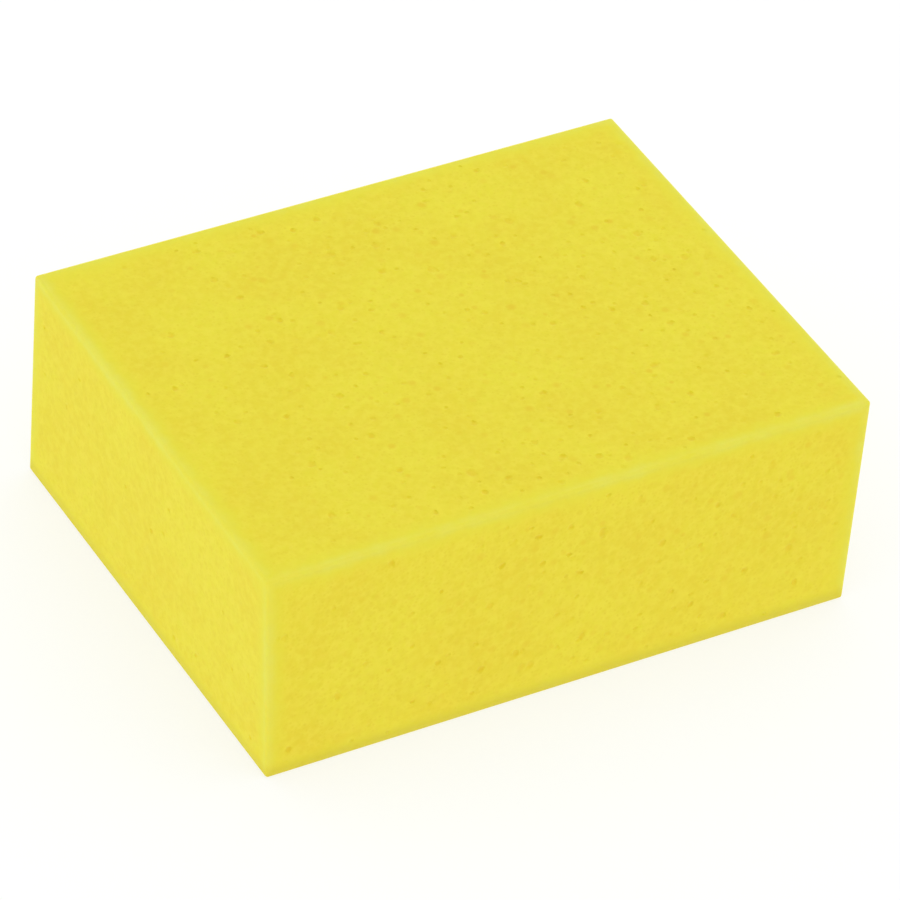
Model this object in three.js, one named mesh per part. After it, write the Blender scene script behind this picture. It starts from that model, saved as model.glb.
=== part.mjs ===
// Grouting sponge: one brick of soft open-cell foam, cut square and softened along its edges.
//
// Millimetres, +Z up. The origin is the centre of the underside, the large face that the sponge
// rests on and wipes with. +X runs along the length and +Y across the width.

import * as THREE from 'three';
import { RoundedBoxGeometry } from 'three/addons/geometries/RoundedBoxGeometry.js';
import { mergeVertices } from 'three/addons/utils/BufferGeometryUtils.js';

// Driving dimensions
const LENGTH = 160;
const WIDTH = 125;
const HEIGHT = 60;
const EDGE_RADIUS = 0.8;

// Facets around each quarter-round edge
const EDGE_FACETS = 6;

const FOAM_YELLOW = 0xe8dc42;

// Joins the vertices that neighbouring faces share, so that the surface is one closed skin.
function closedSkin(geometry) {
  geometry.deleteAttribute('normal');
  geometry.deleteAttribute('uv');
  const skin = mergeVertices(geometry);
  skin.computeVertexNormals();
  return skin;
}

// The six faces are flat. Only the twelve edges and eight corners are rounded.
function foamBlock() {
  const brick = new RoundedBoxGeometry(LENGTH, WIDTH, HEIGHT, EDGE_FACETS / 2, EDGE_RADIUS);
  const foam = new THREE.MeshStandardMaterial({ color: FOAM_YELLOW, roughness: 0.95, metalness: 0 });
  const mesh = new THREE.Mesh(closedSkin(brick), foam);
  mesh.name = 'foam_block';
  mesh.position.z = HEIGHT / 2;
  return mesh;
}

const group = new THREE.Group();
group.name = 'grouting_sponge';
group.add(foamBlock());

export default group;
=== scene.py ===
"""A grouting sponge: one brick of bright yellow open-cell foam, knife-cut on all six faces.

Metres, +Z up. The brick lies on its wiping face, centred on the origin, with its length along X.
"""

import math

import bmesh
import bpy
import numpy as np
from mathutils import Euler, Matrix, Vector


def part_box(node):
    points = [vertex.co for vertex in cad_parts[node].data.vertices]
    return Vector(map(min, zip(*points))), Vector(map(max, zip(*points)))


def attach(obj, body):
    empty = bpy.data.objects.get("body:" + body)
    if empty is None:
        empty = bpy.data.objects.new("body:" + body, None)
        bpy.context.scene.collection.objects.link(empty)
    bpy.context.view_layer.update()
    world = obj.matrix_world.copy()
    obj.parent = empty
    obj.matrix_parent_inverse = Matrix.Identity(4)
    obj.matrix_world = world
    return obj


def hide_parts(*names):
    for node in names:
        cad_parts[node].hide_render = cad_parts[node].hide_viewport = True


MM = 0.001
CM2 = 0.0001

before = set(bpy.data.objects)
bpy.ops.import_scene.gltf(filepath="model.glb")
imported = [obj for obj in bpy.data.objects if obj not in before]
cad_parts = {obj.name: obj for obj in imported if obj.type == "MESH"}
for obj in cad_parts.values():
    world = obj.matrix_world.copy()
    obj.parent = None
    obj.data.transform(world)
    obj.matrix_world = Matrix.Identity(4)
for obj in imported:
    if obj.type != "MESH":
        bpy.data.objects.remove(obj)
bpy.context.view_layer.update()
BLOCK_LOW, BLOCK_HIGH = (Vector(corner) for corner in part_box("foam_block"))
BLOCK_SIZE = BLOCK_HIGH - BLOCK_LOW
BLOCK_CENTRE = (BLOCK_LOW + BLOCK_HIGH) / 2

# The knife leaves a nearly sharp edge.
EDGE_RADIUS = 0.8 * MM
EDGE_STEPS = 4

# The faces are divided into even rows, and more closely near the edges, where their colour changes.
ROW_PITCH = 4 * MM
EDGE_ROWS = (1.0 * MM, 1.8 * MM, 2.8 * MM)

# The knife ran a little out of square through the soft foam, most of all at the left end.
LEFT_END_LEAN_FRONT = math.radians(-2.67)
LEFT_END_LEAN_BACK = math.radians(-0.48)
LEFT_END_TURN = math.radians(0.59)
RIGHT_END_LEAN = math.radians(1.16)
RIGHT_END_TURN = math.radians(0.29)
FRONT_LEAN = math.radians(0.78)
CREASE_ANGLE = math.radians(28)

# The foam is finest at its left end, where it has this share of the bubbles, and reaches its full
# coarseness this far along.
COARSE_FROM = BLOCK_LOW.x + 55 * MM
FINE_END_SHARE = 0.15

# Bubbles are this sparse between their patches, which come where a slow noise rises through this range.
BETWEEN_PATCHES_SHARE = 0.2
PATCH_NOISE = (0.36, 0.6)

# Each size of gas bubble: its radius, how far apart the bubbles keep, how many there are, how wide the
# patches are that they gather in, and how far their walls stray from round.
BUBBLES = {
    "blowholes": {
        "Smallest": 1.6 * MM,
        "Largest": 2.8 * MM,
        "Gap": 6.6 * MM,
        "Per square metre": 0.8 / CM2,
        "Patch size": 45 * MM,
        "Raggedness": 0.6 * MM,
        "Roundness": 4,
        "Seed": 4,
    },
    "pinholes": {
        "Smallest": 1.2 * MM,
        "Largest": 1.75 * MM,
        "Gap": 4.1 * MM,
        "Per square metre": 3.2 / CM2,
        "Patch size": 30 * MM,
        "Raggedness": 0.32 * MM,
        "Roundness": 3,
        "Seed": 9,
    },
}

# The knife cuts away most of each bubble: its middle stood clear of the face by this part of its radius.
BUBBLE_CLEAR = (0.78, 0.88)

# No bubble is quite round: each is squashed or stretched between these, and its walls wander.
BUBBLE_SQUASH = (0.8, 0.8, 0.9)
BUBBLE_STRETCH = (1.15, 1.15, 1.1)
WALL_WANDER = 1.4 * MM

# A pinhole opens only where no blowhole has been cut, and bubbles thin out this near to an edge.
UNCUT_DEPTH = (0.02 * MM, 0.06 * MM)
INLAND = 3 * MM

# Small bubbles outnumber large ones by this power of an even draw.
RARITY = 2.0

# The cells are about half a millimetre across, too fine to show, and are drawn at twice that.
CELL = 0.95 * MM
WIDE_CELL = 2.2 * MM

# Bubbles just under the skin, with their radii as parts of their spacing.
BURIED_SPACING = 5 * MM
BURIED_RADII = (0.16, 0.36)

# How wide each slow change of colour is, and how far the pale rim wanders and how faint it gets.
COLOUR_DRIFT = 18 * MM
STRAND_CLOUDS = 2.3 * MM
RIM_WAVER = 5 * MM
RIM_WANDER = 0.7 * MM
RIM_PATCHES = 22 * MM
RIM_FAINTEST = 0.55

# Where each colour begins and where it is full, measured in from the edges, up from the foot or down
# into a cup.
PAINTED_EDGE_LIGHT_REACH = (6.5 * MM, 1.5 * MM)
PAINTED_RIM_LIGHT_REACH = (3.1 * MM, -0.4 * MM)
PAINTED_FOOT_SHADE_REACH = (5 * MM, 0.3 * MM)
PAINTED_CUP_SHADE_REACH = (0.02 * MM, 0.35 * MM)
BURIED_INLAND = (1 * MM, INLAND)

BODY_ORANGE = "#E6D12F"
BODY_LEMON = "#E7D833"
STRAND_PALE = "#ECDC3F"
# Painted shade inside the open cells.
PAINTED_CELL_SHADE = "#E2CE2B"
BURIED_AMBER = "#E4C929"
# Painted shade in the cut cups, deeper the further down into a cup.
PAINTED_CUP_SHADE_AMBER = "#E6CC2C"
# Painted light along the edges: a broad lemon margin and a narrow pale rim.
PAINTED_EDGE_LIGHT_LEMON = "#E5DA38"
PAINTED_RIM_LIGHT_PALE = "#E2DC54"
# Painted shade along the foot, where the brick stands.
PAINTED_FOOT_SHADE_OLIVE = "#D3C02C"

FOAM_ROUGHNESS = 0.9
CELL_RELIEF = 0.15 * MM
CELL_RELIEF_STRENGTH = 0.4
LIGHT_SINKS = 0.8 * MM
LIGHT_SINKS_BY_COLOUR = (1.0, 0.8, 0.3)


# ---------------------------------------------------------------- small helpers


def linear(hex_colour):
    """An sRGB hex colour, such as "#E8DC42", as linear RGBA."""
    channels = [int(hex_colour[i : i + 2], 16) / 255 for i in (1, 3, 5)]
    return (*[c / 12.92 if c <= 0.04045 else ((c + 0.055) / 1.055) ** 2.4 for c in channels], 1.0)


def add_node(tree, kind, settings, inputs):
    """Adds a node, sets its properties, and feeds its inputs, each from a socket or from a plain value."""
    node = tree.nodes.new(kind)
    for name, value in settings.items():
        setattr(node, name, value)
    for key, value in inputs.items():
        socket = node.inputs[key]
        if isinstance(value, bpy.types.NodeSocket):
            tree.links.new(value, socket)
        else:
            socket.default_value = value
    return node


# ---------------------------------------------------------------- camera

VIEW_AZIMUTH = math.radians(-32.16)
VIEW_HEIGHT = math.radians(38.76)
VIEW_ROLL = math.radians(5.06)
VIEW_DISTANCE = 1.6
VIEW_LENS = 265.2
AIM_RIGHT = 2.05 * MM
AIM_DOWN = 3.2 * MM


def make_camera():
    toward = Vector(
        (
            math.sin(VIEW_AZIMUTH) * math.cos(VIEW_HEIGHT),
            -math.cos(VIEW_AZIMUTH) * math.cos(VIEW_HEIGHT),
            math.sin(VIEW_HEIGHT),
        )
    )
    turn = Euler((math.pi / 2 - VIEW_HEIGHT, 0, VIEW_AZIMUTH), "XYZ").to_matrix()
    turn = turn @ Euler((0, 0, VIEW_ROLL), "XYZ").to_matrix()
    data = bpy.data.cameras.new("studio_camera")
    data.lens = VIEW_LENS
    data.sensor_width = 36
    data.clip_end = 50
    camera = bpy.data.objects.new("studio_camera", data)
    camera.rotation_euler = turn.to_euler()
    camera.location = BLOCK_CENTRE + turn @ Vector((AIM_RIGHT, -AIM_DOWN, 0)) + toward * VIEW_DISTANCE
    bpy.context.scene.collection.objects.link(camera)
    bpy.context.scene.camera = camera


make_camera()


# ---------------------------------------------------------------- the brick and its bubbles


def cut_brick():
    """The closed, square brick with its edges softened and its faces divided into rows."""
    bm = bmesh.new()
    bmesh.ops.create_cube(bm, size=1.0)
    for vert in bm.verts:
        vert.co = Vector(a * b for a, b in zip(vert.co, BLOCK_SIZE)) + BLOCK_CENTRE
    bmesh.ops.bevel(
        bm, geom=bm.edges[:], offset=EDGE_RADIUS, segments=EDGE_STEPS, profile=0.5, affect="EDGES"
    )
    for axis, side in enumerate(BLOCK_SIZE):
        steps = round(side / ROW_PITCH)
        rows = [side * step / steps for step in range(1, steps)]
        rows += [*EDGE_ROWS, *(side - row for row in EDGE_ROWS)]
        along = Vector([float(axis == i) for i in range(3)])
        for row in rows:
            bmesh.ops.bisect_plane(
                bm,
                geom=bm.verts[:] + bm.edges[:] + bm.faces[:],
                plane_co=BLOCK_LOW + along * row,
                plane_no=along,
            )
    mesh = bpy.data.meshes.new("foam_brick")
    bm.to_mesh(mesh)
    bm.free()
    return mesh


def wall_gaps(tree, place, centre, half_size):
    """How far a point lies in from the nearest of the flat cuts, and from the second nearest."""
    offset = add_node(tree, "ShaderNodeVectorMath", {"operation": "SUBTRACT"}, {0: place, 1: centre})
    reach = add_node(tree, "ShaderNodeVectorMath", {"operation": "ABSOLUTE"}, {0: offset.outputs[0]})
    gap = add_node(
        tree, "ShaderNodeVectorMath", {"operation": "SUBTRACT"}, {0: half_size, 1: reach.outputs[0]}
    ).outputs[0]
    total = add_node(
        tree, "ShaderNodeVectorMath", {"operation": "DOT_PRODUCT"}, {0: gap, 1: (1.0, 1.0, 1.0)}
    ).outputs["Value"]
    sides = add_node(tree, "ShaderNodeSeparateXYZ", {}, {"Vector": gap}).outputs
    least, most = (
        add_node(
            tree,
            "ShaderNodeMath",
            {"operation": pick},
            {
                0: add_node(
                    tree, "ShaderNodeMath", {"operation": pick}, {0: sides["X"], 1: sides["Y"]}
                ).outputs[0],
                1: sides["Z"],
            },
        ).outputs[0]
        for pick in ("MINIMUM", "MAXIMUM")
    )
    rest = add_node(tree, "ShaderNodeMath", {"operation": "SUBTRACT"}, {0: total, 1: least})
    second = add_node(tree, "ShaderNodeMath", {"operation": "SUBTRACT"}, {0: rest.outputs[0], 1: most})
    return least, second.outputs[0]


def bubble_share(tree, given, place, cup_depth, edge_distance):
    """Bubbles gather in patches, are few towards the fine end, and keep off the edges and open cups."""
    patch_scale = add_node(
        tree, "ShaderNodeMath", {"operation": "DIVIDE"}, {0: 1.0, 1: given["Patch size"]}
    )
    patches = add_node(
        tree,
        "ShaderNodeTexNoise",
        {"noise_dimensions": "4D"},
        {"Vector": place, "W": given["Seed"], "Scale": patch_scale.outputs[0], "Detail": 1.0},
    )
    crowding = add_node(
        tree,
        "ShaderNodeMapRange",
        {"interpolation_type": "SMOOTHSTEP"},
        {
            "Value": patches.outputs[0],
            "From Min": PATCH_NOISE[0],
            "From Max": PATCH_NOISE[1],
            "To Min": BETWEEN_PATCHES_SHARE,
        },
    )
    along = add_node(tree, "ShaderNodeSeparateXYZ", {}, {"Vector": place}).outputs["X"]
    coarseness = add_node(
        tree,
        "ShaderNodeMapRange",
        {"interpolation_type": "SMOOTHSTEP"},
        {
            "Value": along,
            "From Min": given["Fine end"],
            "From Max": given["Coarse from"],
            "To Min": FINE_END_SHARE,
        },
    )
    inland = add_node(
        tree,
        "ShaderNodeMapRange",
        {},
        {"Value": edge_distance, "From Min": given["Largest"], "From Max": INLAND},
    )
    uncut = add_node(
        tree,
        "ShaderNodeMapRange",
        {},
        {
            "Value": cup_depth,
            "From Min": UNCUT_DEPTH[0],
            "From Max": UNCUT_DEPTH[1],
            "To Min": 1.0,
            "To Max": 0.0,
        },
    )
    share = crowding.outputs["Result"]
    for factor in (coarseness, inland, uncut):
        share = add_node(
            tree, "ShaderNodeMath", {"operation": "MULTIPLY"}, {0: share, 1: factor.outputs["Result"]}
        ).outputs[0]
    return share


def bubble_size(tree, given):
    """Many small bubbles and few large ones, none of them quite round."""
    draw = add_node(tree, "FunctionNodeRandomValue", {"data_type": "FLOAT"}, {"Seed": given["Seed"]})
    rarity = add_node(tree, "ShaderNodeMath", {"operation": "POWER"}, {0: draw.outputs[1], 1: RARITY})
    radius = add_node(
        tree,
        "ShaderNodeMapRange",
        {},
        {"Value": rarity.outputs[0], "To Min": given["Smallest"], "To Max": given["Largest"]},
    )
    shape = add_node(
        tree,
        "FunctionNodeRandomValue",
        {"data_type": "FLOAT_VECTOR"},
        {"Min": BUBBLE_SQUASH, "Max": BUBBLE_STRETCH, "Seed": given["Seed"]},
    )
    return add_node(
        tree,
        "ShaderNodeVectorMath",
        {"operation": "SCALE"},
        {0: shape.outputs[0], "Scale": radius.outputs["Result"]},
    ).outputs[0]


def ragged_walls(tree, given, place, bubbles):
    """Pushes the bubbles' walls about, so that no cut bubble is a true circle."""
    wander = add_node(
        tree, "ShaderNodeTexNoise", {}, {"Vector": place, "Scale": 1 / WALL_WANDER, "Detail": 1.0}
    )
    push = add_node(
        tree,
        "ShaderNodeVectorMath",
        {"operation": "SUBTRACT"},
        {0: wander.outputs["Color"], 1: (0.5, 0.5, 0.5)},
    )
    stray = add_node(
        tree,
        "ShaderNodeVectorMath",
        {"operation": "SCALE"},
        {0: push.outputs[0], "Scale": given["Raggedness"]},
    )
    return add_node(
        tree, "GeometryNodeSetPosition", {}, {"Geometry": bubbles, "Offset": stray.outputs[0]}
    ).outputs["Geometry"]


def bubble_tree():
    """Geometry nodes that open one size of gas bubble wherever the knife passed through it."""
    tree = bpy.data.node_groups.new("cut bubbles", "GeometryNodeTree")
    sockets = {
        "NodeSocketGeometry": ("Foam",),
        "NodeSocketVector": ("Centre", "Half size"),
        "NodeSocketFloat": (
            "Smallest",
            "Largest",
            "Gap",
            "Per square metre",
            "Patch size",
            "Raggedness",
            "Fine end",
            "Coarse from",
        ),
        "NodeSocketInt": ("Roundness", "Seed"),
        "NodeSocketMaterial": ("Material",),
    }
    for kind, names in sockets.items():
        for name in names:
            tree.interface.new_socket(name, in_out="INPUT", socket_type=kind)
    tree.interface.new_socket("Foam", in_out="OUTPUT", socket_type="NodeSocketGeometry")
    given = add_node(tree, "NodeGroupInput", {}, {}).outputs
    place = add_node(tree, "GeometryNodeInputPosition", {}, {}).outputs["Position"]
    cup_depth, edge_distance = wall_gaps(tree, place, given["Centre"], given["Half size"])

    spots = add_node(
        tree,
        "GeometryNodeDistributePointsOnFaces",
        {"distribute_method": "POISSON"},
        {
            "Mesh": given["Foam"],
            "Distance Min": given["Gap"],
            "Density Max": given["Per square metre"],
            "Density Factor": bubble_share(tree, given, place, cup_depth, edge_distance),
            "Seed": given["Seed"],
        },
    )
    ball = add_node(
        tree, "GeometryNodeMeshIcoSphere", {}, {"Radius": 1.0, "Subdivisions": given["Roundness"]}
    )
    bubbles = add_node(
        tree,
        "GeometryNodeInstanceOnPoints",
        {},
        {
            "Points": spots.outputs["Points"],
            "Instance": ball.outputs["Mesh"],
            "Rotation": spots.outputs["Rotation"],
            "Scale": bubble_size(tree, given),
        },
    )
    clear = add_node(
        tree,
        "FunctionNodeRandomValue",
        {"data_type": "FLOAT"},
        {"Min": BUBBLE_CLEAR[0], "Max": BUBBLE_CLEAR[1], "Seed": given["Seed"]},
    )
    outward = add_node(tree, "ShaderNodeCombineXYZ", {}, {"Z": clear.outputs[1]})
    lifted = add_node(
        tree,
        "GeometryNodeTranslateInstances",
        {},
        {"Instances": bubbles.outputs["Instances"], "Translation": outward.outputs["Vector"]},
    )
    solid = add_node(tree, "GeometryNodeRealizeInstances", {}, {"Geometry": lifted.outputs["Instances"]})
    foam = add_node(
        tree,
        "GeometryNodeMeshBoolean",
        {"operation": "DIFFERENCE", "solver": "MANIFOLD"},
        {
            "Mesh 1": given["Foam"],
            "Mesh 2": ragged_walls(tree, given, place, solid.outputs["Geometry"]),
        },
    ).outputs["Mesh"]

    # The material reads these two measures, which the leaning of the faces would spoil if taken later.
    for name, value in (("cup_depth", cup_depth), ("edge_distance", edge_distance)):
        foam = add_node(
            tree,
            "GeometryNodeStoreNamedAttribute",
            {"data_type": "FLOAT", "domain": "POINT"},
            {"Geometry": foam, "Name": name, "Value": value},
        ).outputs["Geometry"]
    whole = add_node(tree, "GeometryNodeRealizeInstances", {}, {"Geometry": foam})
    finished = add_node(
        tree,
        "GeometryNodeSetMaterial",
        {},
        {"Geometry": whole.outputs["Geometry"], "Material": given["Material"]},
    )
    add_node(tree, "NodeGroupOutput", {}, {"Foam": finished.outputs["Geometry"]})
    return tree


def lean_faces(mesh):
    """Turns the square brick's ends and front by as much as the knife ran out of true."""
    co = np.empty(len(mesh.vertices) * 3, dtype=np.float32)
    mesh.vertices.foreach_get("co", co)
    co = co.reshape(-1, 3)
    offset = co - np.array(BLOCK_CENTRE)
    to_right, to_back, _ = (offset / np.array(BLOCK_SIZE) + 0.5).T
    _, depth, rise = offset.T
    left_lean = (1 - to_back) * math.tan(LEFT_END_LEAN_FRONT) + to_back * math.tan(LEFT_END_LEAN_BACK)
    left = rise * left_lean + depth * math.tan(LEFT_END_TURN)
    right = rise * math.tan(RIGHT_END_LEAN) + depth * math.tan(RIGHT_END_TURN)
    co[:, 0] += (1 - to_right) * left + to_right * right
    co[:, 1] += (1 - to_back) * rise * math.tan(FRONT_LEAN)
    mesh.vertices.foreach_set("co", co.ravel())
    mesh.update()


# ---------------------------------------------------------------- the foam's surface


def lay_colour(tree, under, hex_colour, measure, none_at, full_at, most, where=None):
    """Lays a colour over another as a measure runs from none_at to full_at, up to the share most."""
    share = add_node(
        tree,
        "ShaderNodeMapRange",
        {"interpolation_type": "SMOOTHSTEP"},
        {"Value": measure, "From Min": none_at, "From Max": full_at, "To Max": most},
    ).outputs["Result"]
    if where is not None:
        share = add_node(tree, "ShaderNodeMath", {"operation": "MULTIPLY"}, {0: share, 1: where}).outputs[0]
    return add_node(
        tree,
        "ShaderNodeMix",
        {"data_type": "RGBA"},
        {"Factor": share, "A": under, "B": linear(hex_colour)},
    ).outputs[2]


def clouded_body(tree, place):
    """Foam that drifts between orange and lemon over centimetres, clouded with pale strands."""
    drift = add_node(
        tree, "ShaderNodeTexNoise", {}, {"Vector": place, "Scale": 1 / COLOUR_DRIFT, "Detail": 2.0}
    )
    clouds = add_node(
        tree, "ShaderNodeTexNoise", {}, {"Vector": place, "Scale": 1 / STRAND_CLOUDS, "Detail": 3.0}
    )
    body = lay_colour(tree, linear(BODY_ORANGE), BODY_LEMON, drift.outputs[0], 0.3, 0.7, 1.0)
    return lay_colour(tree, body, STRAND_PALE, clouds.outputs[0], 0.32, 0.68, 0.6)


def painted_cell_shade(tree, place, body):
    """Painted shade: open cells are drawn as deeper windows between the strands, the shade inside each
    cell's hollow. Some are closed by a skin and stay pale.
    """
    for size, most in ((CELL, 0.7), (WIDE_CELL, 0.55)):
        cells = add_node(
            tree, "ShaderNodeTexVoronoi", {"feature": "F1"}, {"Vector": place, "Scale": 1 / size}
        ).outputs
        openness = add_node(tree, "ShaderNodeSeparateColor", {}, {"Color": cells["Color"]}).outputs["Blue"]
        body = lay_colour(tree, body, PAINTED_CELL_SHADE, cells["Distance"], 0.6, 0.15, most, openness)
    return body


def buried_bubbles(tree, place, edge, body):
    """Bubbles that the knife just missed show through the skin over them as soft amber spots."""
    buried = add_node(
        tree, "ShaderNodeTexVoronoi", {"feature": "F1"}, {"Vector": place, "Scale": 1 / BURIED_SPACING}
    ).outputs
    luck = add_node(tree, "ShaderNodeSeparateColor", {}, {"Color": buried["Color"]}).outputs
    radius = add_node(
        tree,
        "ShaderNodeMapRange",
        {},
        {"Value": luck["Red"], "To Min": BURIED_RADII[0], "To Max": BURIED_RADII[1]},
    )
    reach = add_node(
        tree,
        "ShaderNodeMath",
        {"operation": "DIVIDE"},
        {0: buried["Distance"], 1: radius.outputs["Result"]},
    )
    inland = add_node(
        tree,
        "ShaderNodeMapRange",
        {},
        {"Value": edge, "From Min": BURIED_INLAND[0], "From Max": BURIED_INLAND[1]},
    )
    along = add_node(tree, "ShaderNodeSeparateXYZ", {}, {"Vector": place}).outputs["X"]
    coarseness = add_node(
        tree,
        "ShaderNodeMapRange",
        {},
        {"Value": along, "From Min": BLOCK_LOW.x, "From Max": COARSE_FROM, "To Min": FINE_END_SHARE},
    )
    where = luck["Green"]
    for factor in (inland, coarseness):
        where = add_node(
            tree, "ShaderNodeMath", {"operation": "MULTIPLY"}, {0: where, 1: factor.outputs["Result"]}
        ).outputs[0]
    return lay_colour(tree, body, BURIED_AMBER, reach.outputs[0], 1.0, 0.25, 1.0, where)


def painted_edge_light(tree, place, edge, body):
    """Painted light along the edges, where light leaves the foam: a broad lemon margin and a narrow pale
    rim that wavers and fades.
    """
    ripple = add_node(
        tree, "ShaderNodeTexNoise", {}, {"Vector": place, "Scale": 1 / RIM_WAVER, "Detail": 2.0}
    )
    shift = add_node(
        tree,
        "ShaderNodeMapRange",
        {},
        {
            "Value": ripple.outputs[0],
            "From Min": 0.25,
            "From Max": 0.75,
            "To Min": -RIM_WANDER,
            "To Max": RIM_WANDER,
        },
    )
    wavering = add_node(
        tree, "ShaderNodeMath", {"operation": "ADD"}, {0: edge, 1: shift.outputs["Result"]}
    ).outputs[0]
    patches = add_node(
        tree, "ShaderNodeTexNoise", {}, {"Vector": place, "Scale": 1 / RIM_PATCHES, "Detail": 1.0}
    )
    strength = add_node(
        tree,
        "ShaderNodeMapRange",
        {},
        {"Value": patches.outputs[0], "From Min": 0.35, "From Max": 0.6, "To Min": RIM_FAINTEST},
    ).outputs["Result"]
    body = lay_colour(tree, body, PAINTED_EDGE_LIGHT_LEMON, wavering, *PAINTED_EDGE_LIGHT_REACH, 0.8)
    return lay_colour(tree, body, PAINTED_RIM_LIGHT_PALE, wavering, *PAINTED_RIM_LIGHT_REACH, 0.95, strength)


def foam_material():
    """Polyurethane foam as the knife leaves it: no gloss, painted shade in amber in the cells and cups,
    edges pale with painted light.

    Light sinks a millimetre into the strands and comes back, red furthest, so that nothing looks hard.
    """
    material = bpy.data.materials.new("cut polyurethane foam")
    material.use_nodes = True
    tree = material.node_tree
    shader = tree.nodes["Principled BSDF"]
    place = add_node(tree, "ShaderNodeTexCoord", {}, {}).outputs["Object"]
    height = add_node(tree, "ShaderNodeSeparateXYZ", {}, {"Vector": place}).outputs["Z"]
    depth, edge = (
        add_node(tree, "ShaderNodeAttribute", {"attribute_name": name}, {}).outputs["Fac"]
        for name in ("cup_depth", "edge_distance")
    )
    body = clouded_body(tree, place)
    body = painted_cell_shade(tree, place, body)
    body = buried_bubbles(tree, place, edge, body)
    # Painted shade: the cups are tinted amber, more so the deeper a point lies in a cup.
    body = lay_colour(tree, body, PAINTED_CUP_SHADE_AMBER, depth, *PAINTED_CUP_SHADE_REACH, 0.65)
    body = painted_edge_light(tree, place, edge, body)
    # Painted shade: the foot is a deeper olive, darker towards the bottom where the brick stands and no
    # light comes through it.
    body = lay_colour(tree, body, PAINTED_FOOT_SHADE_OLIVE, height, *PAINTED_FOOT_SHADE_REACH, 0.6)

    cells = add_node(
        tree, "ShaderNodeTexVoronoi", {"feature": "F1"}, {"Vector": place, "Scale": 1 / CELL}
    )
    bump = add_node(
        tree,
        "ShaderNodeBump",
        {},
        {
            "Height": cells.outputs["Distance"],
            "Strength": CELL_RELIEF_STRENGTH,
            "Distance": CELL_RELIEF,
        },
    )
    tree.links.new(body, shader.inputs["Base Color"])
    tree.links.new(bump.outputs["Normal"], shader.inputs["Normal"])
    shader.inputs["Roughness"].default_value = FOAM_ROUGHNESS
    shader.inputs["Subsurface Weight"].default_value = 1.0
    shader.inputs["Subsurface Radius"].default_value = LIGHT_SINKS_BY_COLOUR
    shader.inputs["Subsurface Scale"].default_value = LIGHT_SINKS
    return material


def make_foam_block():
    brick = bpy.data.objects.new("foam_block_cut", cut_brick())
    bpy.context.scene.collection.objects.link(brick)
    tree = bubble_tree()
    sockets = {item.name: item.identifier for item in tree.interface.items_tree if item.in_out == "INPUT"}
    shared = {
        "Centre": BLOCK_CENTRE,
        "Half size": BLOCK_SIZE / 2,
        "Fine end": BLOCK_LOW.x,
        "Coarse from": COARSE_FROM,
        "Material": foam_material(),
    }
    for name, sizes in BUBBLES.items():
        modifier = brick.modifiers.new(name, "NODES")
        modifier.node_group = tree
        for socket, value in {**shared, **sizes}.items():
            modifier[sockets[socket]] = value
    graph = bpy.context.evaluated_depsgraph_get()
    opened = bpy.data.meshes.new_from_object(brick.evaluated_get(graph))
    brick.modifiers.clear()
    brick.data = opened
    lean_faces(opened)
    opened.shade_smooth()
    opened.set_sharp_from_angle(angle=CREASE_ANGLE)
    return brick


foam_block = make_foam_block()
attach(foam_block, "root")
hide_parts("foam_block")


# ---------------------------------------------------------------- studio

FLOOR_REACH = 6.0
LIGHT_BOX_SIZE = 1.5

# This share of the table's white glows through from below. The rest is the tent's light, sent back.
TABLE_GLOW = 0.65


def make_floor():
    bm = bmesh.new()
    bmesh.ops.create_grid(bm, x_segments=1, y_segments=1, size=FLOOR_REACH)
    mesh = bpy.data.meshes.new("studio_floor")
    bm.to_mesh(mesh)
    bm.free()
    material = bpy.data.materials.new("opal acrylic light table")
    material.use_nodes = True
    shader = material.node_tree.nodes["Principled BSDF"]
    shader.inputs["Base Color"].default_value = (1 - TABLE_GLOW, 1 - TABLE_GLOW, 1 - TABLE_GLOW, 1)
    shader.inputs["Roughness"].default_value = 0.9
    shader.inputs["Emission Color"].default_value = (1, 1, 1, 1)
    shader.inputs["Emission Strength"].default_value = TABLE_GLOW
    mesh.materials.append(material)
    floor = bpy.data.objects.new("studio_floor", mesh)
    bpy.context.scene.collection.objects.link(floor)


def make_light_box(name, place, watts, colour):
    data = bpy.data.lights.new(name, "AREA")
    data.shape = "SQUARE"
    data.size = LIGHT_BOX_SIZE
    data.energy = watts
    data.color = colour
    box = bpy.data.objects.new(name, data)
    box.location = place
    box.rotation_euler = (BLOCK_CENTRE - Vector(place)).to_track_quat("-Z", "Y").to_euler()
    bpy.context.scene.collection.objects.link(box)


def make_lights():
    """An even white tent, lit a little more from above and from the left by cool tubes."""
    world = bpy.data.worlds.new("white_tent")
    world.use_nodes = True
    tent = world.node_tree.nodes["Background"]
    tent.inputs["Color"].default_value = linear("#FFFFFF")
    tent.inputs["Strength"].default_value = 1.0
    bpy.context.scene.world = world
    bpy.context.scene.view_settings.view_transform = "Standard"
    make_light_box("overhead_tubes", (0, 0, 2.2), 1.5, (0.2, 1.0, 0.5))
    make_light_box("left_tubes", (-2.2, -0.3, 0.6), 1.0, (0.2, 1.0, 0.9))


make_floor()
make_lights()
